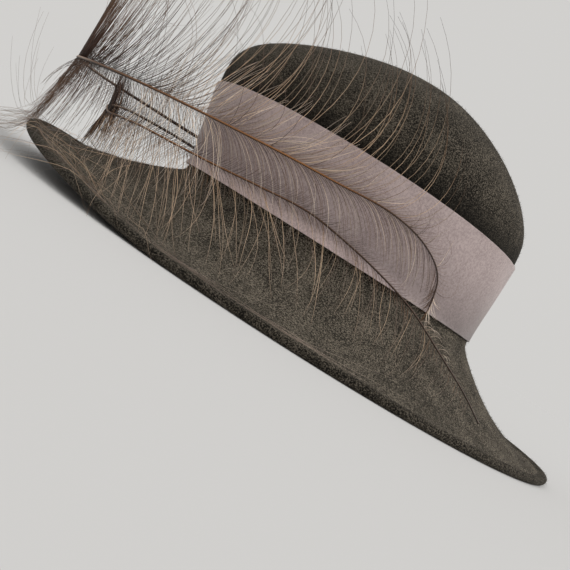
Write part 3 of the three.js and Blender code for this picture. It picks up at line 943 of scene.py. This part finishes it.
# Long barbs that have come to lie along the brim beside its edge, or out across it.
def growCaught(caught, skin, draw):
    strands = []
    for _ in range(caught["count"]):
        turn = math.radians(draw.uniform(*caught["turns"]))
        ways = draw.choice(caught["ways"])
        heading = turn + ways * math.pi / 2 + math.radians(draw.gauss(0, caught["spread"]))
        step = draw.uniform(*caught["length"]) * millimetre / (barbs["steps"] - 1)
        loft = draw.uniform(lying["leastLoft"], caught["loft"]) * millimetre
        out = Vector((math.cos(turn), math.sin(turn), 0))
        high = Vector((0, crownAxis.y, farOff))
        edge = farOff
        while skin.ray_cast(high + out * edge, downwards)[0] is None:
            edge -= millimetre
        edge -= draw.uniform(*caught["inset"]) * millimetre
        place = high + out * edge
        bend = ways * step / edge * draw.uniform(*lying["follow"])
        strand, height = [], None
        for k in range(barbs["steps"]):
            hit = skin.ray_cast(place, downwards)[0]
            height = hit.z if hit else (height or lying["edgeHeight"]) - lying["drop"] * step
            run = k / (barbs["steps"] - 1)
            lift = loft * math.sin(math.pi * run) + barbs["clearance"] * millimetre
            strand.append(keptClear(Vector((place.x, place.y, height + lift)), skin))
            heading += bend + draw.gauss(0, lying["stray"])
            place = place + Vector((math.cos(heading), math.sin(heading), 0)) * step
        strands.append(smoothStrand(np.array(strand), 1))
    return np.array(strands)


# Keratin barbs stripped of their fluff: brown to straw with a hard gloss. Each kind has its own
# colours along it, and each barb its own strength of them.
def barbMaterial(tone):
    material, tree = newMaterial(tone + " stripped feather barb")
    own = addNode(tree, "Attribute", attribute_name="strandTone").outputs["Fac"]
    run = addNode(tree, "Attribute", attribute_name="strandRun").outputs["Fac"]
    colours = barbs["tones"][tone]
    stops = [(i / (len(colours) - 1), colour) for i, colour in enumerate(colours)]
    colour = addNode(tree, "ValToRGB", {"Fac": run}, coloured(stops))
    dark, pale = barbs["shades"]
    shade = addNode(tree, "MapRange", {"Value": own, "To Min": dark, "To Max": pale})
    shaded = addNode(tree, "VectorMath", {
        0: colour.outputs[0], "Scale": shade.outputs[0]}, operation="SCALE")
    surface = addNode(tree, "BsdfPrincipled", {
        "Base Color": shaded.outputs[0], "Roughness": 0.4, "IOR": 1.54})
    addNode(tree, "OutputMaterial", {"Surface": surface.outputs[0]})
    return material


quills = {
    # along the quill, where the butt is 0 and the fold a half, the golden part ends at three
    # quarters and the tip is 1
    "marks": (0, 0.5, 0.75, 1),
    # up to the fold, near black: partly the rachis's own dark, partly painted shade on the arm behind
    # the crown
    "tones": ((0.0, "#24170E"), (0.42, "#33221A"), (0.50, "#B09A88"), (0.54, "#5C3B1E"),
              (0.72, "#96602A"), (0.84, "#4C2F19"), (1.0, "#3A2213")),
    # painted light: how far a face looks up, from 0 to 1, where the painted shade of the underside ends
    # and the painted highlight of the top begins
    "sides": (0.25, 0.6),
    "shades": (0.25, 1.1),  # the painted underside's and painted top's shares of the colour
}


# The same keratin, thick: near black at the butt, bruised pale where it is folded, golden brown
# past the fold and dark again at the tip, with painted shade on the underside and a painted highlight
# on the top.
def quillMaterial():
    material, tree = newMaterial("feather quill")
    lit = addNode(tree, "Attribute", attribute_name="quillPaintedLight").outputs["Fac"]
    run = addNode(tree, "Attribute", attribute_name="quillRun").outputs["Fac"]
    colour = addNode(tree, "ValToRGB", {"Fac": run}, coloured(quills["tones"]))
    (under, over), (dark, pale) = quills["sides"], quills["shades"]
    shade = addNode(tree, "MapRange", {
        "Value": lit, "From Min": under, "From Max": over, "To Min": dark, "To Max": pale})
    shaded = addNode(tree, "VectorMath", {
        0: colour.outputs[0], "Scale": shade.outputs[0]}, operation="SCALE")
    surface = addNode(tree, "BsdfPrincipled", {
        "Base Color": shaded.outputs[0], "Roughness": 0.45, "IOR": 1.54})
    addNode(tree, "OutputMaterial", {"Surface": surface.outputs[0]})
    return material


def buildQuill(name, quill, plume):
    data = bpy.data.curves.new(name, "CURVE")
    data.dimensions = "3D"
    data.bevel_depth = millimetre
    data.bevel_resolution = 4
    data.use_fill_caps = True
    spline = data.splines.new("POLY")
    spline.points.add(len(quill.line) - 1)
    for point, place, share in zip(spline.points, quill.line, quill.shares):
        point.co = (*place, 1)
        point.radius = graded(share, plume["quillRadius"])
    piece = bpy.data.objects.new(name, data)
    bpy.context.scene.collection.objects.link(piece)
    pick(piece)
    bpy.ops.object.convert(target="MESH")
    bpy.ops.object.shade_smooth()
    piece = bpy.context.object
    lit, run = [], []
    parts = (0, plume["foldAt"], plume["goldenTo"], 1)
    for vertex in piece.data.vertices:
        share = quill.shares[np.argmin(np.linalg.norm(quill.line - np.array(vertex.co), axis=1))]
        lit.append(0.5 + 0.5 * vertex.normal.z)
        run.append(np.interp(share, parts, quills["marks"]))
    markPoints(piece.data, "quillPaintedLight", lit)
    markPoints(piece.data, "quillRun", run)
    return piece


def buildPlume(name, plume, node, skin, materials, draw):
    quill = Quill(plume["route"])
    stem = buildQuill(name + "Quill", quill, plume)
    seat(stem, materials["quill"], "feather", node)
    vanes = {title: (layer, growLayer(quill, layer, skin, draw))
             for title, layer in plume["layers"].items()}
    if "brush" in plume:
        vanes["brush"] = (plume["brush"], growBrush(quill, plume["brush"], skin, draw))
    for title in ("caught", "tangled", "loose"):
        if title in plume:
            vanes[title] = (plume[title], growCaught(plume[title], skin, draw))
    for title, (layer, strands) in vanes.items():
        pieceName = name + title[0].upper() + title[1:]
        piece = strandMesh(pieceName, strands, layer["width"], barbs["tipShare"], draw)
        seat(piece, materials[layer["tone"]], "feather", node)
        print(pieceName + ":", len(strands), "barbs")


featherSkin = outerSkin(feltHat, ribbonBand)
featherMaterials = {tone: barbMaterial(tone) for tone in barbs["tones"]}
featherMaterials["quill"] = quillMaterial()
featherDraw = random.Random(barbs["seed"])
buildPlume("upperPlume", plumeUpper, "plume_upper", featherSkin, featherMaterials, featherDraw)
buildPlume("lowerPlume", plumeLower, "plume_lower", featherSkin, featherMaterials, featherDraw)
